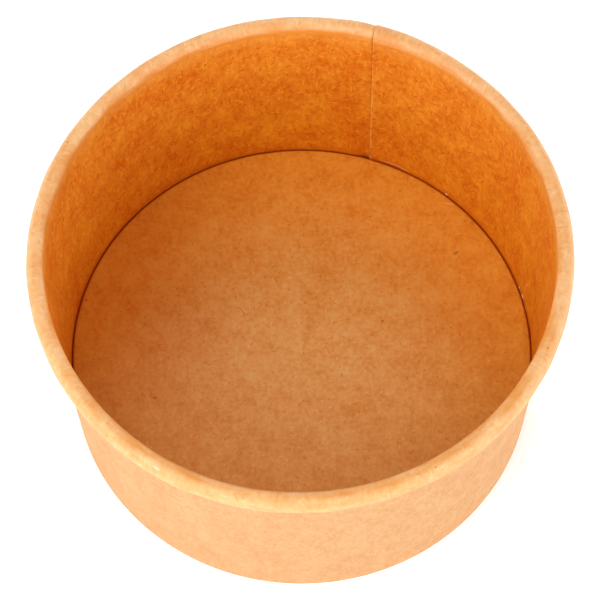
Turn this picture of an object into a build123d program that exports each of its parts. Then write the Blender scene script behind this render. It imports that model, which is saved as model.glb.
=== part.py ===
from build123d import *
import os
from math import acos, cos, degrees, radians, sin, tan

# A small paper tub for one scoop of ice cream. It is two pieces of coated cup board: a sidewall that is
# wrapped into a cone, lapped and heat sealed, and a bottom disc with a skirt that the sidewall's lower
# edge folds round. The axis is Z, and the tub stands on z = 0. All sizes are in millimetres.

# Driving dimensions
rim_diameter = 92.0  # over the rolled rim
height = 48.5  # from the table to the top of the rolled rim
wall_lean = 4.9  # degrees that the sidewall flares from upright
board = 0.42  # thickness of the cup board
bead_width = 3.0  # rolled rim, across
floor_height = 8.9  # from the table to the top of the bottom disc
lap_width = 6.0  # sidewall laid double at the side seam, measured at the rim
ramp_width = 3.6  # run in which the outer layer climbs over the inner layer's cut edge
seam_angle = 73.0  # degrees from +X to the inner layer's cut edge
disc_bend_radius = 0.35  # inside radius where the bottom disc turns down into its skirt
fold_radius = 0.10  # inside radius of each corner of the flattened fold under the skirt
roll_tuck = 0.9  # straight run of the cut edge inside the rolled rim

# Clearances
seal_gap = 0.04  # coating between the skirt and the board on each side of it
skirt_clearance = 0.30  # from the skirt's cut edge down to the inside of the fold
hem_clearance = 1.5  # from the hem's cut edge up to the underside of the bottom disc
roll_gap = 0.05  # from the tucked-in end of the roll to the sidewall's outside

# The rolled rim is an oval of three arcs. Its radii are of the outside skin and keep the oval's shape.
top_curl_radius = 0.42 * bead_width
flank_radius = 1.15 * bead_width
bottom_curl_radius = 0.40 * bead_width

# Turns of the board, in degrees, at which one arc of the roll hands over to the next
top_reach = bead_width - top_curl_radius - flank_radius
top_turn = degrees(acos(top_reach / (flank_radius - top_curl_radius)))
tuck_distance = board + roll_gap  # from the sidewall's inside face to the tucked-in end
under_reach = bead_width - tuck_distance - flank_radius - bottom_curl_radius
under_turn = degrees(acos(-under_reach / (flank_radius - bottom_curl_radius)))

# Centres of the three arcs, in a frame whose y axis runs up the sidewall's inside face and whose origin
# is where that face ends and the roll begins
top_centre = (top_curl_radius, 0)
flank_centre = (
    top_curl_radius + (flank_radius - top_curl_radius) * cos(radians(top_turn)),
    -(flank_radius - top_curl_radius) * sin(radians(top_turn)),
)
bottom_centre = (
    flank_centre[0] + (flank_radius - bottom_curl_radius) * cos(radians(under_turn)),
    flank_centre[1] - (flank_radius - bottom_curl_radius) * sin(radians(under_turn)),
)

# Where the roll begins, so that it reaches the rim diameter and the height
lean = radians(wall_lean)
flank_centre_radius = rim_diameter / 2 - flank_radius
roll_start_radius = flank_centre_radius - flank_centre[0] * cos(lean) - flank_centre[1] * sin(lean)
roll_start_height = height - top_curl_radius + top_curl_radius * sin(lean)

# The skirt lies in the hem between the sidewall and the edge that is folded up inside it
hem_gap = board + 2 * seal_gap
hem_height = floor_height - board - hem_clearance
skirt_end_height = board + skirt_clearance

lap_arc = degrees(lap_width / (rim_diameter / 2))
ramp_arc = degrees(ramp_width / (rim_diameter / 2))


def wall_radius(at_height, inset):
    """Radius, at a height, of the cone that lies this far inside the sidewall's inside face."""
    return roll_start_radius - (roll_start_height - at_height) * tan(lean) - inset / cos(lean)


def wall_plane(angle):
    """Upright plane through the axis, with its y axis up the sidewall's inside face at this angle."""
    around = radians(angle)
    return Plane(
        origin=(roll_start_radius * cos(around), roll_start_radius * sin(around), roll_start_height),
        x_dir=(cos(lean) * cos(around), cos(lean) * sin(around), -sin(lean)),
        z_dir=(sin(around), -cos(around), 0),
    )


def up_wall(at_height, across):
    """Distance up the wall plane to a height, this far across from the inside face."""
    return (at_height - roll_start_height + across * sin(lean)) / cos(lean)


def board_face(layer_shift, depth):
    """Draw one face of the board from the hem's cut edge to the roll's, and return its two ends."""
    outward = layer_shift + depth  # the wall's place, and how much tighter the roll nests
    bend = fold_radius + depth
    bend_height = board + fold_radius

    # Hem, folded up inside the skirt, and the flattened fold that the tub stands on
    hem_corner = fold_radius - hem_gap - layer_shift
    hem_x = hem_corner - bend
    hem_top = (hem_x, up_wall(hem_height, hem_x))
    hem_centre = (hem_corner, up_wall(bend_height, hem_corner))
    wall_corner = layer_shift - fold_radius
    wall_centre = (wall_corner, up_wall(bend_height, wall_corner))
    Line(hem_top, (hem_x, hem_centre[1]))
    hem_bend = CenterArc(hem_centre, bend, 180, 90 + wall_lean)
    wall_bend = CenterArc(wall_centre, bend, wall_lean - 90, 90 - wall_lean)
    Line(hem_bend @ 1, wall_bend @ 0)

    # Wall, and the roll: over the top, down the flank, under, and up against the wall
    Line(wall_bend @ 1, (outward, 0))
    CenterArc(top_centre, top_curl_radius - outward, 180, -top_turn)
    CenterArc(flank_centre, flank_radius - outward, 180 - top_turn, top_turn - under_turn - 180)
    under = CenterArc(bottom_centre, bottom_curl_radius - outward, -under_turn, under_turn - 180)
    tuck = Line(under @ 1, under @ 1 + Vector(0, roll_tuck))
    return hem_top, tuck @ 1


def board_section(angle, layer_shift):
    """Section of the board at an angle round the tub, shifted outward by the layers that it lies on."""
    with BuildSketch(wall_plane(angle)) as section:
        with BuildLine():
            inner_hem, inner_tip = board_face(layer_shift, 0)
            outer_hem, outer_tip = board_face(layer_shift, board)
            Line(inner_hem, outer_hem)
            Line(inner_tip, outer_tip)
        make_face()
    return section.sketch


# Sidewall: one sheet with its hem folded in at the foot and its rim rolled outward at the top
with BuildPart() as sidewall:
    # Single layer, from the foot of the ramp round to the inner cut edge
    revolve(board_section(seam_angle + ramp_arc, 0), axis=Axis.Z, revolution_arc=360 - ramp_arc)
    # Outer layer of the lap, sealed on the outside of the first
    revolve(board_section(seam_angle - lap_arc, board), axis=Axis.Z, revolution_arc=lap_arc)
    # Ramp, where the sheet climbs one thickness to pass over the inner cut edge
    loft([board_section(seam_angle, board), board_section(seam_angle + ramp_arc, 0)], ruled=True)

# Bottom disc: a flat floor whose edge turns down into the skirt
with BuildPart() as bottom_disc:
    with BuildSketch(Plane.XZ):
        with BuildLine():
            top_face = FilletPolyline(
                (0, floor_height),
                (wall_radius(floor_height, seal_gap), floor_height),
                (wall_radius(skirt_end_height, seal_gap), skirt_end_height),
                radius=disc_bend_radius + board,
            )
            under_face = FilletPolyline(
                (0, floor_height - board),
                (wall_radius(floor_height - board, seal_gap + board), floor_height - board),
                (wall_radius(skirt_end_height, seal_gap + board), skirt_end_height),
                radius=disc_bend_radius,
            )
            Line(top_face @ 0, under_face @ 0)
            Line(top_face @ 1, under_face @ 1)
        make_face()
    revolve(axis=Axis.Z)

os.makedirs("parts", exist_ok=True)
sidewall.part.label = "sidewall"
export_step(sidewall.part, "parts/sidewall.step")
bottom_disc.part.label = "bottom_disc"
export_step(bottom_disc.part, "parts/bottom_disc.step")
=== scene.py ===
"""Paper ice cream tub: the looks of its two sheets of kraft cup board, and a plain studio round it."""

from math import cos, degrees, pi, radians, sin, tan

import bpy
import numpy as np
from mathutils import Matrix, Vector


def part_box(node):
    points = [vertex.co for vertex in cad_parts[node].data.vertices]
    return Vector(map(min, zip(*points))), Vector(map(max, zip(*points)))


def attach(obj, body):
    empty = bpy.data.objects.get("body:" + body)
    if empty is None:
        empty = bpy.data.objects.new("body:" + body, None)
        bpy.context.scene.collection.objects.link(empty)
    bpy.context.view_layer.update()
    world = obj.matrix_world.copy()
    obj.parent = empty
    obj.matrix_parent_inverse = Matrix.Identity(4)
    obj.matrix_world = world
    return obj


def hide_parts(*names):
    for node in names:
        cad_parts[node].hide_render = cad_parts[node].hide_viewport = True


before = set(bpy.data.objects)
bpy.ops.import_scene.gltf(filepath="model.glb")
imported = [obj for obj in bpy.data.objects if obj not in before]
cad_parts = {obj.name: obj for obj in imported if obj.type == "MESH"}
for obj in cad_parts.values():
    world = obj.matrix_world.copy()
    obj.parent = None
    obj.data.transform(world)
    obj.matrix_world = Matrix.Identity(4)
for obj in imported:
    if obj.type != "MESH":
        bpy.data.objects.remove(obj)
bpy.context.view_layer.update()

bl_info = {
    "name": "Paper tub",
    "version": (1, 0, 0),
    "blender": (4, 5, 0),
    "location": "View3D > Sidebar > Paper tub",
    "description": "Builds a kraft board tub from its sheet sizes, with a studio to see it in",
    "category": "Add Mesh",
}

MM = 0.001
SIDEWALL_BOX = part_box("sidewall")
DISC_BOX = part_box("bottom_disc")
WALL_LEAN = radians(4.9)
SEAM_ANGLE = radians(73.0)


def linear(hex_code):
    """Linear RGB of an sRGB hex colour."""
    shares = [int(hex_code[at : at + 2], 16) / 255 for at in (1, 3, 5)]
    return tuple(((share + 0.055) / 1.055) ** 2.4 if share > 0.04045 else share / 12.92 for share in shares)


# ---- sizes and colours


class TubSizes(bpy.types.PropertyGroup):
    """Sizes of the tub and of the board it is made from"""

    rim_diameter: bpy.props.FloatProperty(
        name="Rim diameter",
        description="Over the rolled rim",
        default=SIDEWALL_BOX[1].x - SIDEWALL_BOX[0].x,
        unit="LENGTH",
    )
    height: bpy.props.FloatProperty(
        name="Height",
        description="From the table to the top of the rolled rim",
        default=SIDEWALL_BOX[1].z,
        unit="LENGTH",
    )
    floor_height: bpy.props.FloatProperty(
        name="Floor height",
        description="From the table to the top of the bottom disc",
        default=DISC_BOX[1].z,
        unit="LENGTH",
    )
    wall_lean: bpy.props.FloatProperty(
        name="Wall lean",
        description="How far the sidewall flares from upright",
        default=WALL_LEAN,
        subtype="ANGLE",
    )
    board: bpy.props.FloatProperty(
        name="Board", description="Thickness of the cup board", default=0.42 * MM, unit="LENGTH"
    )
    bead_width: bpy.props.FloatProperty(
        name="Bead width", description="Rolled rim, across", default=3.0 * MM, unit="LENGTH"
    )
    lap_width: bpy.props.FloatProperty(
        name="Lap width",
        description="Sidewall laid double at the side seam",
        default=6.0 * MM,
        unit="LENGTH",
    )
    ramp_width: bpy.props.FloatProperty(
        name="Ramp width",
        description="Run in which the outer layer climbs over the inner layer's cut edge",
        default=3.6 * MM,
        unit="LENGTH",
    )
    seam_angle: bpy.props.FloatProperty(
        name="Seam angle",
        description="From +X to the inner layer's cut edge",
        default=SEAM_ANGLE,
        subtype="ANGLE",
    )


class TubColours(bpy.types.PropertyGroup):
    """Colours of the board's faces and edges"""

    outside: bpy.props.FloatVectorProperty(
        name="Outside",
        description="Uncoated face of the kraft board",
        default=linear("#D6A270"),
        subtype="COLOR",
    )
    inside: bpy.props.FloatVectorProperty(
        name="Inside",
        description="Face of the kraft board under its clear coating",
        default=linear("#DF860A"),
        subtype="COLOR",
    )
    roll: bpy.props.FloatVectorProperty(
        name="Roll",
        description="Coated face where the rim is rolled",
        default=linear("#F2B374"),
        subtype="COLOR",
    )
    disc: bpy.props.FloatVectorProperty(
        name="Bottom disc",
        description="Coated face of the bottom disc",
        default=linear("#FCB950"),
        subtype="COLOR",
    )
    cut_edge: bpy.props.FloatVectorProperty(
        name="Cut edge",
        description="Raw core of the board",
        default=linear("#F7D9A8"),
        subtype="COLOR",
    )


# ---- section of the sidewall

# Clearances and bends of the folded board
SEAL_GAP = 0.04 * MM  # between two sealed faces
LAYER_GAP = 0.01 * MM  # between the two layers of the lap
ROLL_GAP = 0.05 * MM  # between the roll's tucked edge and the wall
ROLL_TUCK = 0.9 * MM  # the last straight stretch, which runs back up inside the roll
HEM_CLEARANCE = 1.5 * MM  # from the hem's cut edge to the underside of the disc
SKIRT_CLEARANCE = 0.30 * MM  # from the skirt's cut edge to the hem's fold, where that is raised
FOLD_RADIUS = 0.10 * MM  # inside the hem's fold
DISC_BEND_RADIUS = 0.10 * MM  # inside the disc's bend
DISC_CORNER_RADIUS = 0.42 * MM  # outside it

# Radii of the rolled rim's three arcs, as shares of the bead's width
TOP_CURL = 0.42
FLANK = 1.15
BOTTOM_CURL = 0.40

# Mesh steps along each stretch of the section, from the hem's cut edge to the roll's
HEM, HEM_BEND, FOOT, WALL_BEND, WALL, TOP_ARC, FLANK_ARC, BOTTOM_ARC, TUCK = 8, 4, 1, 4, 34, 12, 9, 12, 3
ROLL_FROM = HEM + HEM_BEND + FOOT + WALL_BEND + WALL  # the first point of the roll


def smooth(low, high, value):
    """0 below low and 1 above high, with an even S between them."""
    share = np.clip((value - low) / (high - low), 0, 1)
    return share * share * (3 - 2 * share)


def ripple(angles, rng, waves, size):
    """A smooth random ripple round the tub, made of whole waves so that it closes on itself."""
    total = np.zeros_like(angles)
    for count in waves:
        total += rng.normal() * np.sin(count * angles + rng.uniform(0, 2 * pi))
    return total * size / np.sqrt(len(waves))


def stretch(start, end, steps):
    """Points along a straight stretch, without its end, as arrays of (step, angle, across or up)."""
    share = (np.arange(steps) / steps)[:, None, None]
    return start + (end - start) * share


def turn(centre, radius, start, size, steps):
    """Points along an arc, without its end."""
    angle = start + size * (np.arange(steps) / steps)[:, None]
    return centre + radius[:, None] * np.stack([np.cos(angle), np.sin(angle)], axis=-1)


def on_arc(centre, radius, angle):
    """The point of an arc at an angle."""
    return centre + radius[:, None] * np.stack([np.cos(angle), np.sin(angle)], axis=-1)


class Section:
    """The line of the board in an upright plane through the axis, across and up the sidewall."""

    def __init__(self, sizes):
        self.sizes = sizes
        self.lean = sizes.wall_lean
        self.board = sizes.board
        self.gap = sizes.board + 2 * SEAL_GAP
        self.hem_height = sizes.floor_height - sizes.board - HEM_CLEARANCE
        width = sizes.bead_width
        flank = self.roll(np.array([width]))[0][1][0]
        reach = flank[0] * cos(self.lean) + flank[1] * sin(self.lean)
        self.start_radius = sizes.rim_diameter / 2 - FLANK * width - reach
        self.start_height = sizes.height - TOP_CURL * width * (1 - sin(self.lean))

    def roll(self, width):
        """Centres of the roll's three arcs, and the turns at which one hands over to the next."""
        top, flank, bottom = TOP_CURL * width, FLANK * width, BOTTOM_CURL * width
        tuck = self.board + ROLL_GAP
        top_turn = np.arccos((width - top - flank) / (flank - top))
        under_turn = np.arccos((tuck - width + flank + bottom) / (flank - bottom))
        top_centre = np.stack([top, 0 * top], axis=-1)
        toward_flank = np.stack([np.cos(top_turn), -np.sin(top_turn)], axis=-1)
        flank_centre = top_centre + (flank - top)[:, None] * toward_flank
        toward_bottom = np.stack([np.cos(under_turn), -np.sin(under_turn)], axis=-1)
        bottom_centre = flank_centre + (flank - bottom)[:, None] * toward_bottom
        return (top_centre, flank_centre, bottom_centre), (top_turn, under_turn)

    def wall_radius(self, at_height, inset):
        """Radius, at a height, of the cone that lies this far inside the sidewall's inside face."""
        return self.start_radius - (self.start_height - at_height) * tan(self.lean) - inset / cos(self.lean)

    def place(self, across, at_height):
        """A point this far across from the inside face, at a height."""
        up = (at_height - self.start_height + across * sin(self.lean)) / cos(self.lean)
        return np.stack([across, up], axis=-1)

    def face(self, depth, shift, lift, roll_depth, roll_shift, swell):
        """Points of one face, from the hem's cut edge to the roll's, at each angle round the tub.

        depth is 0 on the inside face and the board's thickness on the outside one. shift is how far the
        layer lies outside its own place, lift is how far its fold is raised, and swell widens its roll.
        The roll has its own depth and shift, since it presses the lap's two layers thinner."""
        outward = roll_shift + roll_depth
        bend = FOLD_RADIUS + depth + 0 * shift
        bend_height = self.board + FOLD_RADIUS + lift
        hem_centre = self.place(FOLD_RADIUS - self.gap - shift, bend_height)
        wall_centre = self.place(shift - FOLD_RADIUS, bend_height)
        hem_top = self.place(hem_centre[:, 0] - bend, self.hem_height + 0 * shift)
        hem_foot = on_arc(hem_centre, bend, pi + 0 * shift)
        foot_in = on_arc(hem_centre, bend, 1.5 * pi + self.lean + 0 * shift)
        foot_out = on_arc(wall_centre, bend, self.lean - pi / 2 + 0 * shift)
        wall_foot = on_arc(wall_centre, bend, 0 * shift)
        wall_top = np.stack([outward, 0 * outward], axis=-1)

        width = self.sizes.bead_width + swell
        (top_centre, flank_centre, bottom_centre), (top_turn, under_turn) = self.roll(width)
        top, flank, bottom = (curl * width - outward for curl in (TOP_CURL, FLANK, BOTTOM_CURL))
        flank_turn = top_turn - under_turn - pi
        tip = on_arc(bottom_centre, bottom, -pi + 0 * shift)
        tip_end = tip + np.array([0, ROLL_TUCK])
        return np.concatenate(
            [
                stretch(hem_top, hem_foot, HEM),
                turn(hem_centre, bend, pi, pi / 2 + self.lean, HEM_BEND),
                stretch(foot_in, foot_out, FOOT),
                turn(wall_centre, bend, self.lean - pi / 2, pi / 2 - self.lean, WALL_BEND),
                stretch(wall_foot, wall_top, WALL),
                turn(top_centre, top, pi, -top_turn, TOP_ARC),
                turn(flank_centre, flank, pi - top_turn, flank_turn, FLANK_ARC),
                turn(bottom_centre, bottom, -under_turn, under_turn - pi, BOTTOM_ARC),
                stretch(tip, tip_end, TUCK),
                tip_end[None],
            ]
        )

    def stood_up(self, points):
        """Radii and heights of points that are given across and up the sidewall."""
        across, up = points[..., 0], points[..., 1]
        out = self.start_radius + across * cos(self.lean) + up * sin(self.lean)
        high = self.start_height - across * sin(self.lean) + up * cos(self.lean)
        return out, high


# ---- meshes


def sheet_mesh(name, inside, outside, inside_uv, outside_uv, marks, closed):
    """One board piece from grids of points on its two faces, with its cut edges between them.

    The grids run (along the section, round the tub). marks are numbers from 0 to 1 at each point, which the
    materials read by name. A closed sheet is a disc: its last column joins its first, and its first row is
    its middle, which is one point on each face."""
    rows, columns = inside.shape[:2]
    points = np.concatenate([inside.reshape(-1, 3), outside.reshape(-1, 3)])
    flat = np.concatenate([inside_uv.reshape(-1, 2), outside_uv.reshape(-1, 2)])
    number = np.arange(2 * rows * columns).reshape(2, rows, columns)
    if closed:
        number[:, 0, :] = number[:, 0, :1]
    wrap = np.concatenate([number, number[:, :, :1]], axis=2) if closed else number
    near, far = wrap[:, :-1, :-1], wrap[:, 1:, :-1]
    near_next, far_next = wrap[:, :-1, 1:], wrap[:, 1:, 1:]
    inner = np.stack([near[0], near_next[0], far_next[0], far[0]], axis=-1).reshape(-1, 4)
    outer = np.stack([near[1], far[1], far_next[1], near_next[1]], axis=-1).reshape(-1, 4)
    # Cut edges: the first and last rows, and on an open sheet the first and last columns too
    edges = []
    for row, flip in ((0, 1), (-1, -1)):
        a, b = wrap[0, row, :-1], wrap[0, row, 1:]
        c, d = wrap[1, row, 1:], wrap[1, row, :-1]
        edges.append(np.stack([a, d, c, b][::flip], axis=-1))
    if not closed:
        for column, flip in ((0, 1), (-1, -1)):
            a, b = number[0, :-1, column], number[0, 1:, column]
            c, d = number[1, 1:, column], number[1, :-1, column]
            edges.append(np.stack([a, b, c, d][::flip], axis=-1))
    # Round the disc's middle the quads become triangles, and the points left over are dropped
    groups = []
    for quads in (inner, outer, np.concatenate(edges)):
        polygons = [tuple(dict.fromkeys(quad)) for quad in quads.tolist()]
        groups.append([polygon for polygon in polygons if len(polygon) > 2])
    kept = sorted({corner for group in groups for polygon in group for corner in polygon})
    place = {old: new for new, old in enumerate(kept)}
    groups = [[[place[corner] for corner in polygon] for polygon in group] for group in groups]
    mesh = bpy.data.meshes.new(name)
    mesh.from_pydata(points[kept].tolist(), [], sum(groups, []))
    mesh.polygons.foreach_set("use_smooth", np.ones(len(mesh.polygons), bool))
    mesh.polygons.foreach_set("material_index", np.repeat([0, 1, 2], [len(group) for group in groups]))
    corners = np.empty(len(mesh.loops), int)
    mesh.loops.foreach_get("vertex_index", corners)
    uv = mesh.uv_layers.new(name="sheet")
    uv.data.foreach_set("uv", flat[kept][corners].ravel())
    for mark, values in marks.items():
        held = mesh.attributes.new(mark, "FLOAT", "POINT")
        held.data.foreach_set("value", np.concatenate([values.ravel(), values.ravel()])[kept])
    # Every side of a cut edge's quads is kept sharp
    cut_sides = set()
    for quad in groups[2]:
        for at in range(4):
            cut_sides.add(tuple(sorted((quad[at], quad[at - 1]))))
    sharp = [tuple(sorted(edge.vertices)) in cut_sides for edge in mesh.edges]
    mesh.attributes.new("sharp_edge", "BOOLEAN", "EDGE").data.foreach_set("value", sharp)
    mesh.update()
    piece = bpy.data.objects.new(name, mesh)
    bpy.context.scene.collection.objects.link(piece)
    return piece


def around(radius, height, angles):
    """Points at grids of radius and height, for the angle of each column or of each point."""
    return np.stack([radius * np.cos(angles), radius * np.sin(angles), height], axis=-1)


# ---- sidewall

# Mesh columns: over the lap, down the ramp, round the tub, and crowded together up to the cut edge
LAP_STEPS, RAMP_STEPS, AROUND_STEPS, END_STEPS = 12, 12, 432, 10
END_RUN = 0.02  # radians

# The lap: what the roll does to its two layers, and how the seam's line runs
LAP_PRESSED = 0.50  # thickness of each of the lap's layers in the roll, as a share of the board's
EDGE_PRESSED = 0.25  # and at the inner layer's cut edge
EDGE_RUN = 0.8 * MM  # run in which the inner layer thins to its cut edge
FOLD_RISE = 0.5  # run in which the inner layer's fold rises onto the outer's, as a share of the ramp
SEAM_SWELL = 0.32 * MM  # how much fatter the roll is where it holds both layers
SWELL_RISE = (3.0, 0.8)  # where the swelling begins and is full, in laps before the inner layer's cut edge
SWELL_FALL = (-0.2, 2.4)  # and where it begins to fall and is gone past that edge, in ramps
SWELL_PAST = 0.8  # share of the swelling that is left past the edge
SEAM_ASKEW_TOP = -0.003  # radians round the tub, at the rim
SEAM_ASKEW_FOOT = -0.0205  # and at the foot
ASKEW_RUN = (0.14, 0.40)  # radians from the seam, between which the board goes back to its own place

# Unevenness of the board: the seed of its random draws, and the waves round the tub and their size
SIDEWALL_SEED = 11
ROLL_RIPPLE = ((3, 5, 9, 14, 22, 31, 43), 0.035 * MM)
RIM_DIP = ((5, 8, 13), 0.03 * MM)
DIP_FROM = 0.6  # share of the height at which the rim's dips begin
WALL_BUCKLE = ((5, 7, 11, 16), 0.035 * MM)
# How far the rim is out of round: waves round it, their size, and the azimuth in degrees they bulge toward
OUT_OF_ROUND = ((2, 0.11 * MM, 34), (3, 0.06 * MM, 39), (4, 0.02 * MM, 0), (5, 0.06 * MM, 30))

# Pressed teeth that hold the hem
KNURL_TEETH = 144
KNURL_DEPTH = 0.07 * MM
KNURL_BAND = (0.10, 0.25, 0.75, 0.90)  # shares of the hem: the band begins, is full, starts to fade, ends

# Marks that the materials read. All heights are in millimetres up the sheet
EDGE_WEAR_HIGHLIGHT = 0.2 * MM  # width of the pale line along the seam's cut edge: worn fibres and a painted highlight where the edge catches light
WEAR_HIGHLIGHT_FADE = (24, 36)  # where the pale line grows fainter
WEAR_HIGHLIGHT_LOST = 0.5  # and how much of it is lost
SEAM_GAP = 0.18 * MM  # width of the shadow beside the cut edge
GAP_UP = (20, 34)  # where the shadow begins and is full
GAP_ON_ROLL = (46, 49)  # where it fades again, since the roll presses the edge down
GAP_LOST = 0.5  # and how much of it is lost
GAP_FROM = -0.003  # radians past the cut edge, where the shadow starts
SKIN_AND_HIGHLIGHT_START = (-1.9, 1.8)  # where the roll's paler skin begins and is full, past the roll's start. Away from the front it starts early, so the inner curl carries a painted highlight
# At the front, where the inner curl has no painted highlight, it comes in two steps, of these shares, with
# a stretch of half-rubbed skin between them
FRONT_STEPS = ((0.51, -1.4, 0.6), (0.49, 1.6, 3.1))


def sidewall_angles(sizes):
    """Angles of the mesh columns, from the outer layer's cut edge once round to the inner layer's."""
    radius = sizes.rim_diameter / 2
    lap, ramp = sizes.lap_width / radius, sizes.ramp_width / radius
    start, seam = sizes.seam_angle - lap, sizes.seam_angle
    under = np.linspace(start, seam, LAP_STEPS, endpoint=False)
    climb = np.linspace(seam, seam + ramp, RAMP_STEPS, endpoint=False)
    round_tub = np.linspace(seam + ramp, seam + 2 * pi - END_RUN, AROUND_STEPS, endpoint=False)
    last = seam + 2 * pi - END_RUN * (1 - np.linspace(0, 1, END_STEPS)) ** 2
    return np.concatenate([under, climb, round_tub, last])


def knurl(angles, points_up):
    """Depth of the pressed teeth that hold the hem, for each point of it."""
    teeth = 0.5 + 0.5 * np.cos(angles * KNURL_TEETH)
    begin, full, fade, end = KNURL_BAND
    band = smooth(begin, full, points_up) * (1 - smooth(fade, end, points_up))
    return KNURL_DEPTH * band[:, None] * teeth[None, :]


def askew(sizes, high):
    """How far round the tub the sheet's slanting end lies from the seam's angle, at a height."""
    return SEAM_ASKEW_TOP + (SEAM_ASKEW_FOOT - SEAM_ASKEW_TOP) * (1 - high / sizes.height)


def lap_layers(sizes, past_seam):
    """How the sheet's two ends lie over each other, at each angle past the seam.

    Gives how far the layer is shifted outward, how far its fold is raised, how thin the roll presses it,
    how far the pressed layer is shifted in the roll, and how much wider the roll is there."""
    radius = sizes.rim_diameter / 2
    lap, ramp = sizes.lap_width / radius, sizes.ramp_width / radius
    # The outer layer lies one board further out, and comes down the ramp to its own place
    off_ramp = smooth(0, ramp, past_seam)
    shift = (sizes.board + LAYER_GAP) * (1 - off_ramp)
    # Over the outer layer's fold, the inner layer's fold is raised
    over_lap = smooth(2 * pi - lap - FOLD_RISE * ramp, 2 * pi - lap, past_seam)
    lift = (sizes.board + LAYER_GAP) * over_lap
    # The roll presses both layers of the lap thinner, and the inner one's cut edge thinner still
    at_edge = smooth(2 * pi - EDGE_RUN / radius, 2 * pi, past_seam)
    pressed = 1 - (1 - LAP_PRESSED) * (1 - off_ramp + over_lap) - (LAP_PRESSED - EDGE_PRESSED) * at_edge
    roll_shift = (EDGE_PRESSED * sizes.board + LAYER_GAP) * (1 - off_ramp)
    # The roll is a little fatter where it holds both layers
    rise = smooth(2 * pi - SWELL_RISE[0] * lap, 2 * pi - SWELL_RISE[1] * lap, past_seam)
    fall = 1 - smooth(SWELL_FALL[0] * ramp, SWELL_FALL[1] * ramp, past_seam)
    swell = SEAM_SWELL * rise + SWELL_PAST * SEAM_SWELL * fall
    return shift, lift, pressed, roll_shift, swell


def wall_marks(angles, past_seam, mean_radius, up_sheet, roll_start):
    """The marks on the sidewall, from millimetres up the sheet: wear and a painted highlight along the cut
    edge, a painted shadow beside it, and the roll's rubbed skin with a painted highlight on its inner curl.
    """
    from_end = (angles[-1] - angles) * mean_radius
    wear_highlight = np.exp(-from_end / EDGE_WEAR_HIGHLIGHT) * (1 - WEAR_HIGHLIGHT_LOST * smooth(*WEAR_HIGHLIGHT_FADE, up_sheet))

    from_edge = np.abs(past_seam) * mean_radius
    gap = np.exp(-from_edge / SEAM_GAP) * (past_seam > GAP_FROM)
    gap = gap * smooth(*GAP_UP, up_sheet) * (1 - GAP_LOST * smooth(*GAP_ON_ROLL, up_sheet))

    past_start = up_sheet - roll_start
    skin_and_highlight = smooth(*SKIN_AND_HIGHLIGHT_START, past_start)
    at_front = sum(share * smooth(begin, full, past_start) for share, begin, full in FRONT_STEPS)
    front = 0.5 - 0.5 * np.sin(angles)
    return {"wear_highlight": wear_highlight, "roll": skin_and_highlight + (at_front - skin_and_highlight) * front, "gap": gap}


def make_sidewall(sizes):
    """The sidewall: the board from the hem's cut edge to the roll's, taken once round and lapped."""
    section = Section(sizes)
    angles = sidewall_angles(sizes)
    past_seam = angles - sizes.seam_angle
    rng = np.random.default_rng(SIDEWALL_SEED)
    shift, lift, pressed, roll_shift, swell = lap_layers(sizes, past_seam)
    swell = swell + ripple(angles, rng, *ROLL_RIPPLE)
    dip = ripple(angles, rng, *RIM_DIP)
    buckle = ripple(angles, rng, *WALL_BUCKLE)
    bow = sum(size * np.cos(waves * (angles - radians(toward))) for waves, size, toward in OUT_OF_ROUND)
    hem_press = knurl(angles, np.linspace(0, 1, HEM))
    from_seam = np.minimum(np.abs(past_seam), 2 * pi - past_seam)
    beside_seam = 1 - smooth(*ASKEW_RUN, from_seam)

    faces = []
    for depth in (0, sizes.board):
        points = section.face(depth, shift, lift, depth * pressed, roll_shift, swell)
        out, high = section.stood_up(points)
        # The board isn't perfectly round or level
        belly = np.sin(pi * np.clip(high / sizes.height, 0, 1)) ** 2
        out = out + bow * smooth(0, sizes.height, high) + buckle * belly
        high = high + dip * smooth(DIP_FROM * sizes.height, sizes.height, high)
        out[:HEM] += hem_press
        # The sheet was wrapped a little askew, so the seam leans
        faces.append(around(out, high, angles + beside_seam * askew(sizes, high)))
    inside, outside = faces

    # The sheet's own scale: round the tub from the seam, and up from where the wall leaves the hem's fold
    middle = 0.5 * (inside + outside)
    steps = np.linalg.norm(np.diff(middle, axis=0), axis=2).mean(axis=1)
    along = np.concatenate([[0], np.cumsum(steps)])
    along = (along - along[ROLL_FROM - WALL]) / MM
    mean_radius = section.wall_radius(sizes.height / 2, 0)
    round_sheet, up_sheet = np.meshgrid(past_seam * mean_radius / MM, along)
    inside_uv = np.stack([round_sheet, up_sheet], axis=-1)
    outside_uv = inside_uv + np.array([0, 2 * along[-1]])
    marks = wall_marks(angles, past_seam, mean_radius, up_sheet, along[ROLL_FROM])
    return sheet_mesh("sidewall_sheet", inside, outside, inside_uv, outside_uv, marks, closed=False)


# ---- bottom disc

DISC_RINGS, DISC_BEND_RINGS, SKIRT_RINGS = 44, 8, 7
DISC_COLUMNS = 288
RING_CROWDING = 0.85  # below 1, the rings lie closer together toward the disc's edge
DISC_SEED = 5
FLOOR_WARP = 0.05 * MM
WARP_WAVES = (1, 2, 3, 5)
WARP_DEPTH = 2.0 * MM  # below this depth under the floor the skirt isn't warped
EDGE_PRESS = 0.35  # how far the disc's edge is pressed out beside the seam, as a share of the board
EDGE_PRESS_RUN = 1.0 * MM  # run from the seam's cut edge in which the press comes on
EDGE_PRESS_FROM = 0.92  # and the share of the disc's radius at which it begins
UNDERSIDE_OFFSET = 300  # millimetres between the two faces' patterns


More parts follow.
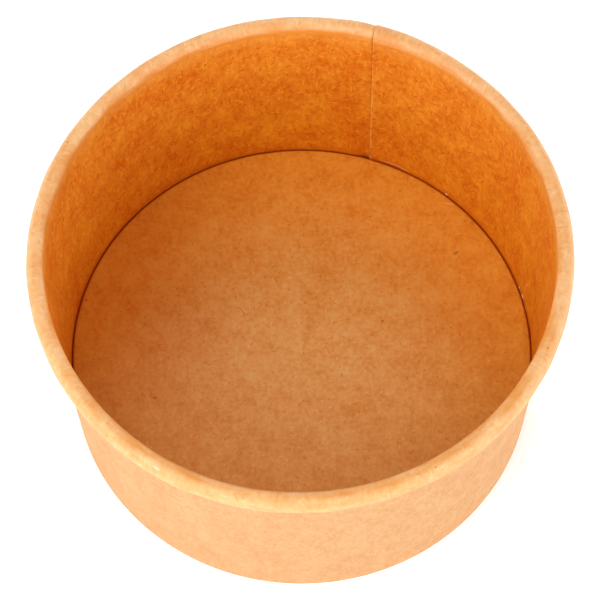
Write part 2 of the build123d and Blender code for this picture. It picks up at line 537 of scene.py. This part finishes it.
def disc_line(section, inset, floor, bend, end):
    """Radii and heights of one face of the bottom disc, from its centre to the end of its skirt."""
    lean = section.lean
    corner_radius = section.wall_radius(floor, inset)
    # The bend is tangent to the flat and to the skirt
    reach = bend * tan(pi / 4 + lean / 2)
    start = corner_radius - reach
    rings = start * np.linspace(0, 1, DISC_RINGS) ** RING_CROWDING
    flat = np.stack([rings, np.full(DISC_RINGS, floor)], axis=-1)
    turns = np.linspace(0, pi / 2 + lean, DISC_BEND_RINGS + 1)[1:]
    curve = np.stack([start + bend * np.sin(turns), floor - bend + bend * np.cos(turns)], axis=-1)
    skirt_heights = np.linspace(curve[-1, 1], end, SKIRT_RINGS + 1)[1:]
    skirt = np.stack([section.wall_radius(skirt_heights, inset), skirt_heights], axis=-1)
    return np.concatenate([flat, curve, skirt])


def make_bottom_disc(sizes):
    """The bottom disc: a flat floor, the bend round its edge and the skirt that the hem holds."""
    section = Section(sizes)
    angles = np.linspace(0, 2 * pi, DISC_COLUMNS, endpoint=False)
    rng = np.random.default_rng(DISC_SEED)
    board = sizes.board
    end = 2 * board + SKIRT_CLEARANCE
    floor = sizes.floor_height
    top = disc_line(section, SEAL_GAP, floor, DISC_CORNER_RADIUS, end)
    under = disc_line(section, SEAL_GAP + board, floor - board, DISC_BEND_RADIUS, end)
    sag = sum(ripple(angles, rng, (waves,), FLOOR_WARP) for waves in WARP_WAVES)
    # Beside the seam's cut edge the sidewall lies further out, and the disc's edge is pressed out to it
    radius = sizes.rim_diameter / 2
    past_seam = (angles - sizes.seam_angle - askew(sizes, floor)) % (2 * pi)
    press = smooth(0, EDGE_PRESS_RUN / radius, past_seam)
    press = press * (1 - smooth(0, sizes.ramp_width / radius, past_seam))
    faces = []
    for line in (top, under):
        line_out, line_high = line[:, 0, None], line[:, 1, None]
        share = line_out / top[:, 0].max()
        hollow = np.sin(pi * np.clip(share, 0, 1)) ** 2
        above_skirt = smooth(floor - WARP_DEPTH, floor - board, line_high)
        high = line_high + hollow * sag * above_skirt
        out = line_out + EDGE_PRESS * board * press * smooth(EDGE_PRESS_FROM, 1.0, share)
        faces.append(around(out, high, angles))
    inside, outside = faces
    run = np.concatenate([[0], np.cumsum(np.linalg.norm(np.diff(top, axis=0), axis=1))])
    spread = run[:, None] / MM
    uv = np.stack([spread * np.cos(angles), spread * np.sin(angles)], axis=-1)
    return sheet_mesh("bottom_disc_sheet", inside, outside, uv, uv + UNDERSIDE_OFFSET, {}, closed=True)


# ---- materials

# Settings of the nodes. The colour Mix node's sockets go by number, because their names aren't unique
SUMS = ("ADD", "SUBTRACT", "MULTIPLY", "MULTIPLY_ADD", "ABSOLUTE", "LENGTH")
ADD, SUBTRACT, MULTIPLY, MULTIPLY_ADD, ABSOLUTE, LENGTH = ({"operation": name} for name in SUMS)
COLOUR_MIX = {"data_type": "RGBA"}
COLOUR_TIMES = {"data_type": "RGBA", "blend_type": "MULTIPLY"}
SHARE, FIRST, SECOND, MIXED = 0, 6, 7, 2
S_CURVE = {"interpolation_type": "SMOOTHSTEP"}

# Pressed pulp: size in millimetres, detail and weight of each noise
PULP = ((7.0, 1.0, 0.9), (2.4, 2.0, 1.3), (0.8, 1.0, 1.2), (0.35, 0.0, 0.35))
PULP_ROUGHNESS = 0.55
# Single fibres: spacing, length, half width, weight and offset of each set, in millimetres. Real ones are
# about 0.03 mm wide, too fine to show, so these are drawn several times as wide
WALL_FIBRES = (
    (1.6, 0.8, 0.13, 1.5, 0.0),
    (2.3, 1.3, 0.13, 1.3, 13.1),
    (1.8, 0.8, 0.12, -1.4, 27.7),
    (2.7, 1.3, 0.13, -1.3, 41.3),
)
DISC_FIBRES = (
    (1.9, 0.55, 0.11, 1.4, 0.0),
    (3.1, 1.1, 0.10, 1.0, 13.1),
    (2.1, 0.55, 0.12, -1.5, 27.7),
    (3.5, 1.1, 0.10, -1.2, 41.3),
)
FIBRE_SOLID = 0.3  # share of a fibre's half width that is fully drawn
FIBRE_OFFSET_UP = 3.7  # a set's offset up the sheet, in times its offset across
WALL_DRAWN = 1.6  # how much longer the wall's pattern is up the sheet than across it
# Dark specks in the pulp: spacing, radius in millimetres and share of the cells that hold one
WALL_SPECKS = (7.0, 0.16, 0.2)
DISC_SPECKS = (7.0, 0.15, 0.15)
BARE_SPECKS = (5.0, 0.12, 0.25)
SPECK_SOLID = 0.4  # share of a speck's radius that is fully drawn

BOARD_IOR = 1.5  # of cellulose, and of the polyethylene coating
RELIEF = 0.02  # millimetres, of the pattern in the face of the board
CUT_RELIEF = 0.03  # and in its cut edge
COATED_ROUGHNESS = 0.5
BARE_ROUGHNESS = 0.9
CUT_ROUGHNESS = 0.95

# How strong the pattern is, and what it does to red, green and blue at its deepest and palest
WALL_STRENGTH = 0.68
WALL_GRAIN = ((0.86, 0.54, -1.6), (1.14, 1.46, 6.0))  # its blue only shows on the paler fibres
DISC_STRENGTH = 0.5
DISC_GRAIN = ((0.88, 0.62, 0.1), (1.12, 1.38, 2.0))
ROLL_GRAIN = ((0.945, 0.835, 0.68), (1.055, 1.165, 1.33))
BARE_GRAIN = ((0.94, 0.88, 0.80), (1.05, 1.10, 1.18))
CUT_STRENGTH = 1.0
CUT_GRAIN = ((0.85, 0.80, 0.75), (1.08, 1.10, 1.15))
# Slow changes of the red, green and blue: up the wall, along the roll, and over the disc, where they are
# painted shade toward its edge and front and a painted pool of light in its middle
WALL_FADE = ((1.03, 1.07, 0.75), (1.0, 0.94, 1.5))
WALL_FADE_UP = (8, 46)
ROLL_PATCH = ((0.99, 0.93, 0.87), (1.01, 1.06, 1.12))
ROLL_PATCH_SHARE = (0.36, 0.62)  # values of the smear's noise at which a patch is deep and pale
DISC_RIM_SHADE = ((0.79, 0.80, 0.48), (0.99, 0.85, 0.40))  # painted shade at the floor's edge: at the front of the floor and at its back
DISC_SHADE_ACROSS = (-32, 12)  # millimetres from the front of that change to its back
DISC_MIDDLE_LIGHT = (1.02, 1.13, 1.65)
DISC_LIGHT_RUN = (40, 8)  # millimetres from the centre, where the middle's painted light begins and is full
# The roll's smeared skin: its noise is squeezed along the rim, and so drawn out, and makes its start ragged
SMEAR_ALONG = 0.30
SMEAR_SCALE = 0.55  # patches in a millimetre
SMEAR_RAGGED = 0.65
SKIN_SHARE = (0.15, 0.85)  # the roll's mark at which the skin begins and is full
PRESSED_FLAT = (0.05, 0.30)  # the roll's mark between which the wall's grain is pressed away
# Places up the sheet, in millimetres: the roll's start, the paler band under it and the painted shade round
# the roll's underside
ROLL_UP = 47.0
PALING_UP = (ROLL_UP - 4.8, ROLL_UP - 1.8)
PALING = 0.27  # how much of the roll's colour the paler band takes
PALING_TINT = (1.0, 1.0, 0.5)
UNDERSIDE_SHADE_UP = (ROLL_UP + 4.2, ROLL_UP + 5.3)
UNDERSIDE_SHADE_TINT = (0.99, 0.87, 0.94, 1)
# The painted shade in the corner: how far up the sheet and how far out over the disc it runs, in
# millimetres, and its tint
CREASE_UP = (8.40, 8.75)
CREASE_RUN = (39.32, 39.66)
CREASE_SHADE_TINT = (0.75, 0.48, 0.38)
CORNER_SHADE_UP = 10.6  # how far up the sheet a softer painted shade rises from the corner
CORNER_SHADE = 0.4  # and how much of the corner's tint it has
# Tints of small things, as shares of the colour they lie in
GAP_TINT = (0.62, 0.45, 0.40)
WORN_HIGHLIGHT_TINT = (1.05, 1.0, 0.6)
WORN_HIGHLIGHT_PATTERN = (0.2, 0.6)  # the worn and highlighted line is broken where the board's pattern is deep
WALL_SPECK_TINT = (0.55, 0.40, 0.40)
DISC_SPECK_TINT = (0.65, 0.50, 0.40)
DISC_DIRT_TINT = (0.68, 0.50, 0.40)
BARE_SPECK_TINT = (0.75, 0.60, 0.50)
# Colours of the pale marks: glue, the longest line of it with a painted highlight, crumbs of paper, nicks
# in the roll and scrapes on the disc
GLUE_AND_HIGHLIGHT = (1.0, 0.60, 0.22, 1)
CRUMB = (1.0, 0.82, 0.64, 1)
NICK = (0.88, 0.60, 0.40, 1)
SCRAPE = (1.0, 0.66, 0.26, 1)
MARK_EDGE = (1.25, 0.6)  # where a mark begins and is full, as shares of its half size

FOOT_HEIGHT = 0.5  # millimetres, where the sheet's own scale starts up the wall
UV_RADIUS = 41.0  # millimetres, the radius at which the sheet's scale round the tub is true


def on_wall(azimuth, height, length, width, slant=0.0):
    """A mark on the sidewall, from its azimuth in degrees and its height in millimetres."""
    past_seam = (azimuth - degrees(SEAM_ANGLE)) % 360
    return (radians(past_seam) * UV_RADIUS, (height - FOOT_HEIGHT) / cos(WALL_LEAN), length, width, slant)


# Each mark's place, length and width in millimetres, and slant in degrees
CRUMBS = (
    on_wall(51.0, 9.2, 0.5, 0.5),
    on_wall(18.7, 9.4, 0.45, 0.7),
    on_wall(16.1, 9.4, 1.0, 0.8, -10.0),
    on_wall(12.9, 9.05, 0.5, 0.25),
)
ROLL_NICKS = (on_wall(-121.5, 50.1, 1.2, 0.5, 8.0), on_wall(-125.4, 51.6, 0.6, 0.4))
WALL_GLUE_AND_HIGHLIGHT = (
    # Along the foot of the lap: squeezed-out glue with a painted highlight on it
    on_wall(67.6, 9.15, 6.0, 0.22, -3.0),
    on_wall(15.5, 14.6, 0.5, 0.9),
    on_wall(30.0, 40.5, 1.6, 0.2, 60.0),
)
WALL_DIRT = (on_wall(112.2, 41.9, 0.6, 0.3, 20.0), on_wall(138.4, 38.9, 0.45, 0.35))
DISC_SCRAPES = ((26.1, 28.8, 1.8, 0.28, -7.0), (7.1, 32.3, 1.2, 0.2, 30.0), (-8.5, -21.0, 0.5, 0.3, 0.0))
DISC_DIRT = (
    (27.1, 19.2, 1.1, 0.55, 35.0),
    (14.1, 6.2, 0.5, 0.4, 0.0),
    (-10.2, 8.35, 1.6, 0.15, -58.0),
    (-25.4, -8.0, 0.85, 0.55, 20.0),
    (-37.4, 10.9, 0.6, 0.5, 0.0),
    (24.7, -16.4, 0.45, 0.4, 0.0),
    (18.2, -4.7, 0.35, 0.3, 0.0),
)


def node(tree, kind, settings=None, inputs=None):
    """Add a node with its settings, and give each input a value or a link; returns its outputs."""
    made = tree.nodes.new("ShaderNode" + kind)
    for name, value in (settings or {}).items():
        setattr(made, name, value)
    for name, value in (inputs or {}).items():
        if isinstance(value, bpy.types.NodeSocket):
            tree.links.new(value, made.inputs[name])
        else:
            made.inputs[name].default_value = value
    return made.outputs


def new_material(name):
    """A material with an empty node tree."""
    material = bpy.data.materials.new(name)
    material.use_nodes = True
    material.node_tree.nodes.clear()
    return material


def weighed(tree, value, weight, total):
    """Total plus a pattern's departure from a half, times its weight."""
    centred = node(tree, "Math", SUBTRACT, {0: value, 1: 0.5})[0]
    return node(tree, "Math", MULTIPLY_ADD, {0: centred, 1: weight, 2: total})[0]


def fibres(tree, place, spacing, length, width, offset):
    """1 on short, faintly bent fibres, one at a random slant in each cell, and 0 between them."""
    moved = node(tree, "VectorMath", ADD, {0: place, 1: (offset, FIBRE_OFFSET_UP * offset, 0)})[0]
    cells = node(tree, "TexVoronoi", {"voronoi_dimensions": "2D"}, {"Vector": moved, "Scale": 1 / spacing})
    chance = node(tree, "SeparateColor", None, {"Color": cells["Color"]})
    slant = node(tree, "Math", MULTIPLY, {0: chance["Red"], 1: 2 * pi})[0]
    from_middle = node(tree, "VectorMath", SUBTRACT, {0: moved, 1: cells["Position"]})[0]
    axis = {"Vector": from_middle, "Angle": slant}
    turned = node(tree, "VectorRotate", {"rotation_type": "Z_AXIS"}, axis)[0]
    parts = node(tree, "SeparateXYZ", None, {0: turned})
    square = node(tree, "Math", MULTIPLY, {0: parts["X"], 1: parts["X"]})[0]
    bend = node(tree, "Math", SUBTRACT, {0: chance["Green"], 1: 0.5})[0]
    bent = node(tree, "Math", MULTIPLY_ADD, {0: square, 1: bend, 2: parts["Y"]})[0]
    aside = node(tree, "Math", ABSOLUTE, {0: bent})[0]
    along = node(tree, "Math", ABSOLUTE, {0: parts["X"]})[0]
    narrow = {"Value": aside, "From Min": width, "From Max": FIBRE_SOLID * width}
    short = {"Value": along, "From Min": length / 2, "From Max": length / 4}
    across = node(tree, "MapRange", None, narrow)[0]
    reach = node(tree, "MapRange", None, short)[0]
    line = node(tree, "Math", MULTIPLY, {0: across, 1: reach})[0]
    return node(tree, "Math", MULTIPLY, {0: line, 1: chance["Blue"]})[0]


def specked(tree, place, colour, tint, spacing, radius, share):
    """Colour with rare round specks of a tint, in a share of the cells."""
    cells = node(tree, "TexVoronoi", {"voronoi_dimensions": "2D"}, {"Vector": place, "Scale": 1 / spacing})
    chance = node(tree, "SeparateColor", None, {"Color": cells["Color"]})["Red"]
    rare = node(tree, "Math", {"operation": "LESS_THAN"}, {0: chance, 1: share})[0]
    reach = radius / spacing
    disc = {"Value": cells["Distance"], "From Min": reach, "From Max": SPECK_SOLID * reach}
    spot = node(tree, "MapRange", None, disc)[0]
    speck = node(tree, "Math", MULTIPLY, {0: rare, 1: spot})[0]
    return node(tree, "Mix", COLOUR_MIX, {SHARE: speck, FIRST: colour, SECOND: tint})[MIXED]


def laid(tree, colour, tint, value, start, end):
    """Colour with a tint laid on it: none where value is at start, and all of it where value is at end."""
    share = node(tree, "MapRange", S_CURVE, {"Value": value, "From Min": start, "From Max": end})[0]
    return node(tree, "Mix", COLOUR_MIX, {SHARE: share, FIRST: colour, SECOND: tint})[MIXED]


def shade(colour, red, green, blue):
    """The colour with its red, green and blue multiplied."""
    return (colour[0] * red, colour[1] * green, colour[2] * blue, 1)


def grained(tree, pattern, colour, deep, pale):
    """The colour deepened and paled by the board's pattern."""
    tint = node(tree, "Mix", COLOUR_MIX, {SHARE: pattern, FIRST: (*deep, 1), SECOND: (*pale, 1)})[MIXED]
    return node(tree, "Mix", COLOUR_TIMES, {SHARE: 1.0, FIRST: colour, SECOND: tint})[MIXED]


def marked(tree, place, colour, marks, tint):
    """Colour with small marks laid on it, each given by its centre, length, width and slant."""
    for across, up, length, width, slant in marks:
        moved = node(tree, "VectorMath", SUBTRACT, {0: place, 1: (across, up, 0)})[0]
        axis = {"Vector": moved, "Angle": -radians(slant)}
        turned = node(tree, "VectorRotate", {"rotation_type": "Z_AXIS"}, axis)[0]
        scaled = node(tree, "VectorMath", MULTIPLY, {0: turned, 1: (2 / length, 2 / width, 0)})[0]
        reach = node(tree, "VectorMath", LENGTH, {0: scaled})["Value"]
        colour = laid(tree, colour, tint, reach, *MARK_EDGE)
    return colour


def board_pattern(tree, strength, fibre_sets, drawn=1.0):
    """Place on the sheet in millimetres, and the board's pattern: 0.5 on average, higher where paler.

    Pressed pulp shows clouds where the fibres lie thicker, a finer mottle and single fibres. drawn is how
    much longer the pattern is up the sheet than across it, as the paper machine lays it."""
    place = node(tree, "UVMap", {"uv_map": "sheet"})[0]
    grain = node(tree, "Mapping", None, {"Vector": place, "Scale": (1.0, 1 / drawn, 1.0)})[0]
    total = 0.5
    for size, detail, weight in PULP:
        cloud = {"Vector": grain, "Scale": 1 / size, "Detail": detail, "Roughness": PULP_ROUGHNESS}
        value = node(tree, "TexNoise", {"noise_dimensions": "2D"}, cloud)[0]
        total = weighed(tree, value, strength * weight, total)
    for spacing, length, width, weight, offset in fibre_sets:
        line = fibres(tree, grain, spacing, length, width, offset)
        total = node(tree, "Math", MULTIPLY_ADD, {0: line, 1: strength * weight, 2: total})[0]
    return place, total


def finish(tree, colour, pattern, roughness, gloss, relief):
    """The board's surface shader, with its pattern raised by the relief in millimetres."""
    bumped = {"Strength": 1.0, "Distance": relief * MM, "Height": pattern}
    surface = {
        "Base Color": colour,
        "Roughness": roughness,
        "IOR": BOARD_IOR,
        "Specular IOR Level": gloss,
        "Normal": node(tree, "Bump", None, bumped)[0],
    }
    shader = node(tree, "BsdfPrincipled", None, surface)[0]
    node(tree, "OutputMaterial", None, {"Surface": shader})


def rolled_skin(tree, colours, pattern, up, streak):
    """Colour of the rolled rim: pale where the rolling tool rubbed it, in soft patches along the rim."""
    deep, pale = (shade(colours.roll, *patch) for patch in ROLL_PATCH)
    skin = laid(tree, deep, pale, streak, *ROLL_PATCH_SHARE)
    skin = grained(tree, pattern, skin, *ROLL_GRAIN)
    # Round the underside the skin is darkened a little with painted shade
    begin, full = UNDERSIDE_SHADE_UP
    shaded_below = node(tree, "MapRange", S_CURVE, {"Value": up, "From Min": begin, "From Max": full})[0]
    return node(tree, "Mix", COLOUR_TIMES, {SHARE: shaded_below, FIRST: skin, SECOND: UNDERSIDE_SHADE_TINT})[MIXED]


def shaded_corner(tree, colours, colour, up):
    """The wall's colour, darkened with painted shade in the corner over the bottom disc and a little way up
    the wall.
    """
    crease_end, crease_start = CREASE_UP
    shade_range = {"Value": up, "From Min": CORNER_SHADE_UP, "From Max": crease_end}
    in_shade = node(tree, "MapRange", S_CURVE, shade_range)[0]
    rising_shade = node(tree, "Math", MULTIPLY, {0: in_shade, 1: CORNER_SHADE})[0]
    crease_range = {"Value": up, "From Min": crease_start, "From Max": crease_end}
    in_crease = node(tree, "MapRange", S_CURVE, crease_range)[0]
    corner = node(tree, "Math", {"operation": "MAXIMUM"}, {0: in_crease, 1: rising_shade})[0]
    tint = shade(colours.inside, *CREASE_SHADE_TINT)
    return node(tree, "Mix", COLOUR_MIX, {SHARE: corner, FIRST: colour, SECOND: tint})[MIXED]


def seamed(tree, colours, colour, pattern):
    """The wall's colour with a fine painted shadow beside the seam's cut edge, and the edge itself pale
    from wear and a painted highlight.
    """
    gap = node(tree, "Attribute", {"attribute_name": "gap"})["Fac"]
    shadow = shade(colours.inside, *GAP_TINT)
    colour = node(tree, "Mix", COLOUR_MIX, {SHARE: gap, FIRST: colour, SECOND: shadow})[MIXED]
    wear_highlight = node(tree, "Attribute", {"attribute_name": "wear_highlight"})["Fac"]
    begin, full = WORN_HIGHLIGHT_PATTERN
    unbroken = node(tree, "MapRange", S_CURVE, {"Value": pattern, "From Min": begin, "From Max": full})[0]
    worn_highlight = node(tree, "Math", MULTIPLY, {0: wear_highlight, 1: unbroken})[0]
    pale = shade(colours.roll, *WORN_HIGHLIGHT_TINT)
    return node(tree, "Mix", COLOUR_MIX, {SHARE: worn_highlight, FIRST: colour, SECOND: pale})[MIXED]


def wall_liner(colours):
    """Kraft liner, extrusion-coated with clear polyethylene.

    The coating wets the fibres, so their brown looks deep and mottled, with a faint soft sheen. Where the
    rim is rolled the skin is burnished, so it is paler and smoother, with a ragged start; away from the
    front its inner curl also carries a painted highlight."""
    material = new_material("kraft_liner_coated")
    tree = material.node_tree
    place, pattern = board_pattern(tree, WALL_STRENGTH, WALL_FIBRES, WALL_DRAWN)
    up = node(tree, "SeparateXYZ", None, {0: place})["Y"]
    on_roll_and_highlight = node(tree, "Attribute", {"attribute_name": "roll"})["Fac"]
    low, high = (shade(colours.inside, *fade) for fade in WALL_FADE)
    wall = laid(tree, low, high, up, *WALL_FADE_UP)
    flattened = laid(tree, pattern, (0.5, 0.5, 0.5, 1), on_roll_and_highlight, *PRESSED_FLAT)
    wall = grained(tree, flattened, wall, *WALL_GRAIN)
    # Under the roll the wall pales toward the roll's colour over its last few millimetres
    begin, full = PALING_UP
    in_band = node(tree, "MapRange", S_CURVE, {"Value": up, "From Min": begin, "From Max": full})[0]
    paling = node(tree, "Math", MULTIPLY, {0: in_band, 1: PALING})[0]
    band = {SHARE: paling, FIRST: wall, SECOND: shade(colours.roll, *PALING_TINT)}
    wall = node(tree, "Mix", COLOUR_MIX, band)[MIXED]

    smear_place = node(tree, "Mapping", None, {"Vector": place, "Scale": (SMEAR_ALONG, 1.0, 1.0)})[0]
    smear = {"Vector": smear_place, "Scale": SMEAR_SCALE, "Detail": 2.0}
    streak = node(tree, "TexNoise", {"noise_dimensions": "2D"}, smear)[0]
    ragged = weighed(tree, streak, SMEAR_RAGGED, on_roll_and_highlight)
    skin = rolled_skin(tree, colours, pattern, up, streak)
    colour = laid(tree, wall, skin, ragged, *SKIN_SHARE)

    colour = shaded_corner(tree, colours, colour, up)
    colour = seamed(tree, colours, colour, pattern)
    dirt = shade(colours.inside, *WALL_SPECK_TINT)
    colour = specked(tree, place, colour, dirt, *WALL_SPECKS)
    for marks, tint in ((WALL_GLUE_AND_HIGHLIGHT, GLUE_AND_HIGHLIGHT), (CRUMBS, CRUMB), (ROLL_NICKS, NICK), (WALL_DIRT, dirt)):
        colour = marked(tree, place, colour, marks, tint)
    finish(tree, colour, pattern, COATED_ROUGHNESS, gloss=0.3, relief=RELIEF)
    return material


def disc_liner(colours):
    """The bottom disc's kraft liner, with the same extruded coating.

    Its middle is paler with a painted pool of light, and toward its edge and its front it darkens with
    painted shade."""
    material = new_material("disc_liner_coated")
    tree = material.node_tree
    place, pattern = board_pattern(tree, DISC_STRENGTH, DISC_FIBRES)
    run = node(tree, "VectorMath", LENGTH, {0: place})["Value"]
    toward_back = node(tree, "SeparateXYZ", None, {0: place})["Y"]
    # Painted shade round the floor's edge, deepest at the front, and a painted pool of light in its middle
    front, back = (shade(colours.disc, *tint) for tint in DISC_RIM_SHADE)
    shaded_rim = laid(tree, front, back, toward_back, *DISC_SHADE_ACROSS)
    colour = laid(tree, shaded_rim, shade(colours.disc, *DISC_MIDDLE_LIGHT), run, *DISC_LIGHT_RUN)
    colour = grained(tree, pattern, colour, *DISC_GRAIN)
    # Painted shade where the floor meets the wall
    colour = laid(tree, colour, shade(colours.disc, *CREASE_SHADE_TINT), run, *CREASE_RUN)
    colour = specked(tree, place, colour, shade(colours.disc, *DISC_SPECK_TINT), *DISC_SPECKS)
    colour = marked(tree, place, colour, DISC_SCRAPES, SCRAPE)
    colour = marked(tree, place, colour, DISC_DIRT, shade(colours.disc, *DISC_DIRT_TINT))
    finish(tree, colour, pattern, COATED_ROUGHNESS, gloss=0.5, relief=RELIEF)
    return material


def bare_board(name, base, strength):
    """Kraft liner as it left the paper machine, calendered and uncoated: matt, and even in colour."""
    material = new_material(name)
    tree = material.node_tree
    place, pattern = board_pattern(tree, strength, WALL_FIBRES, WALL_DRAWN)
    deep, pale = (shade(base, *grain) for grain in BARE_GRAIN)
    colour = node(tree, "Mix", COLOUR_MIX, {SHARE: pattern, FIRST: deep, SECOND: pale})[MIXED]
    colour = specked(tree, place, colour, shade(base, *BARE_SPECK_TINT), *BARE_SPECKS)
    finish(tree, colour, pattern, BARE_ROUGHNESS, gloss=0.25, relief=RELIEF)
    return material


def cut_board(name, base):
    """The board's die-cut edge: the paler middle plies show, with a dull, fluffy look."""
    material = new_material(name)
    tree = material.node_tree
    pattern = board_pattern(tree, CUT_STRENGTH, DISC_FIBRES)[1]
    deep, pale = (shade(base, *grain) for grain in CUT_GRAIN)
    colour = node(tree, "Mix", COLOUR_MIX, {SHARE: pattern, FIRST: deep, SECOND: pale})[MIXED]
    finish(tree, colour, pattern, CUT_ROUGHNESS, gloss=0.2, relief=CUT_RELIEF)
    return material


def sweep_card():
    """Matt white card for the table. It glows a little, so it looks plain white right up to the tub."""
    material = new_material("sweep_card_matt")
    tree = material.node_tree
    surface = {
        "Base Color": (0.9, 0.9, 0.9, 1),
        "Roughness": 0.9,
        "Emission Color": (1, 1, 1, 1),
        "Emission Strength": TABLE_GLOW,
    }
    shader = node(tree, "BsdfPrincipled", None, surface)[0]
    node(tree, "OutputMaterial", None, {"Surface": shader})
    return material


# ---- studio

# Soft round lamps: direction round the tub and height above the table in degrees, and power in watts
LIGHTS = {
    "back_high": (150, 65, 0.39),
    "left_high": (-150, 65, 0.18),
    "front": (-90, 42, 0.35),
    "front_right": (-45, 42, 0.93),
    "back_right": (45, 42, 0.49),
    "back": (90, 42, 2.50),
    "front_left": (-135, 42, 2.67),
    "right_low": (-54, 20, 1.98),
    "right": (-18, 20, 2.38),
    "right_back": (18, 20, 0.69),
    "back_low": (90, 20, 2.22),
    "left": (-162, 20, 2.47),
    "left_low": (-126, 20, 2.14),
}
LIGHT_DISTANCE = 0.9
LIGHT_SIZE = 0.45
LIGHT_TARGET = (0, 0, 0.02)
TABLE_HALF = 3.0
TABLE_GLOW = 0.42

# The camera stands in front of the tub and looks down on it from a metre up. Its place is in metres, its
# turns are in radians, and its lens and sensor in millimetres
CAMERA_DISTANCE = 0.470023
CAMERA_HEIGHT = 1.014432
CAMERA_PITCH = 1.12506
CAMERA_ROLL = -0.01132
CAMERA_YAW = -0.00018
LENS = 384.5
SENSOR_WIDTH = 36
CLIP_START = 0.05


def add_camera(scene):
    """The camera, turned by its pitch, then its yaw, then its roll."""
    forward = Vector((0, cos(CAMERA_PITCH), -sin(CAMERA_PITCH)))
    up = Vector((0, sin(CAMERA_PITCH), cos(CAMERA_PITCH)))
    right = Vector((1, 0, 0))
    forward, right = (
        cos(CAMERA_YAW) * forward + sin(CAMERA_YAW) * right,
        cos(CAMERA_YAW) * right - sin(CAMERA_YAW) * forward,
    )
    right, up = (
        cos(CAMERA_ROLL) * right + sin(CAMERA_ROLL) * up,
        cos(CAMERA_ROLL) * up - sin(CAMERA_ROLL) * right,
    )
    lens = bpy.data.cameras.new("camera")
    lens.lens = LENS
    lens.sensor_width = SENSOR_WIDTH
    lens.clip_start = CLIP_START
    camera = bpy.data.objects.new("camera", lens)
    place = Matrix.Translation((0, -CAMERA_DISTANCE, CAMERA_HEIGHT))
    camera.matrix_world = place @ Matrix((right, up, -forward)).transposed().to_4x4()
    scene.collection.objects.link(camera)
    scene.camera = camera


def add_table(scene):
    """The plain white table under the tub."""
    mesh = bpy.data.meshes.new("table")
    half = TABLE_HALF
    corners = [(-half, -half, 0), (half, -half, 0), (half, half, 0), (-half, half, 0)]
    mesh.from_pydata(corners, [], [(0, 1, 2, 3)])
    mesh.materials.append(sweep_card())
    table = bpy.data.objects.new("table", mesh)
    scene.collection.objects.link(table)


def add_lights(scene):
    """The ring of soft lamps, each turned toward the tub, in an unlit room."""
    for name, (azimuth, height, power) in LIGHTS.items():
        lamp = bpy.data.lights.new(name, "AREA")
        lamp.shape = "DISK"
        lamp.size = LIGHT_SIZE
        lamp.energy = power
        light = bpy.data.objects.new(name, lamp)
        flat = LIGHT_DISTANCE * cos(radians(height))
        light.location = (
            flat * cos(radians(azimuth)),
            flat * sin(radians(azimuth)),
            LIGHT_DISTANCE * sin(radians(height)),
        )
        toward = Vector(LIGHT_TARGET) - light.location
        light.rotation_euler = toward.to_track_quat("-Z", "Y").to_euler()
        scene.collection.objects.link(light)
    world = bpy.data.worlds.new("room")
    world.use_nodes = True
    world.node_tree.nodes["Background"].inputs["Color"].default_value = (1, 1, 1, 1)
    world.node_tree.nodes["Background"].inputs["Strength"].default_value = 0.0
    scene.world = world


# ---- operators


def dress(piece, *materials):
    """Give a piece the materials of its coated face, its bare face and its cut edges."""
    if not piece.data.polygons:
        raise RuntimeError(f"{piece.name} came out empty")
    for material in materials:
        piece.data.materials.append(material)


class TUB_OT_sidewall(bpy.types.Operator):
    """Roll the sidewall: one lapped sheet with its hem folded in and its rim rolled outward"""

    bl_idname = "tub.sidewall"
    bl_label = "Sidewall"

    def execute(self, context):
        sizes, colours = context.scene.tub_sizes, context.scene.tub_colours
        piece = make_sidewall(sizes)
        bare = bare_board("kraft_board_bare", colours.outside, strength=0.9)
        dress(piece, wall_liner(colours), bare, cut_board("kraft_board_cut", colours.cut_edge))
        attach(piece, "root")
        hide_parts("sidewall")
        return {"FINISHED"}


class TUB_OT_bottom_disc(bpy.types.Operator):
    """Press the bottom disc: a flat floor whose edge turns down into its skirt"""

    bl_idname = "tub.bottom_disc"
    bl_label = "Bottom disc"

    def execute(self, context):
        sizes, colours = context.scene.tub_sizes, context.scene.tub_colours
        piece = make_bottom_disc(sizes)
        bare = bare_board("disc_board_bare", colours.outside, strength=0.8)
        dress(piece, disc_liner(colours), bare, cut_board("disc_board_cut", colours.cut_edge))
        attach(piece, "root")
        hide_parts("bottom_disc")
        return {"FINISHED"}


class TUB_OT_stage(bpy.types.Operator):
    """Set the camera, a plain pale table and soft studio lights"""

    bl_idname = "tub.stage"
    bl_label = "Studio"

    def execute(self, context):
        scene = context.scene
        add_camera(scene)
        add_table(scene)
        add_lights(scene)
        scene.view_settings.view_transform = "Standard"
        return {"FINISHED"}


class TUB_PT_panel(bpy.types.Panel):
    """Sizes, colours and pieces of the tub"""

    bl_idname = "TUB_PT_panel"
    bl_label = "Paper tub"
    bl_space_type = "VIEW_3D"
    bl_region_type = "UI"
    bl_category = "Paper tub"

    def draw(self, context):
        layout = self.layout
        for group in (context.scene.tub_sizes, context.scene.tub_colours):
            box = layout.box()
            for name in group.__annotations__:
                box.prop(group, name)
        for operator in OPERATORS:
            layout.operator(operator.bl_idname)


OPERATORS = (TUB_OT_sidewall, TUB_OT_bottom_disc, TUB_OT_stage)
CLASSES = (TubSizes, TubColours, *OPERATORS, TUB_PT_panel)


def register():
    for kind in CLASSES:
        bpy.utils.register_class(kind)
    bpy.types.Scene.tub_sizes = bpy.props.PointerProperty(type=TubSizes)
    bpy.types.Scene.tub_colours = bpy.props.PointerProperty(type=TubColours)


def unregister():
    del bpy.types.Scene.tub_colours
    del bpy.types.Scene.tub_sizes
    for kind in reversed(CLASSES):
        bpy.utils.unregister_class(kind)


def main():
    register()
    bpy.ops.tub.sidewall()
    bpy.ops.tub.bottom_disc()
    bpy.ops.tub.stage()
    bpy.context.view_layer.update()


if __name__ == "__main__":
    main()
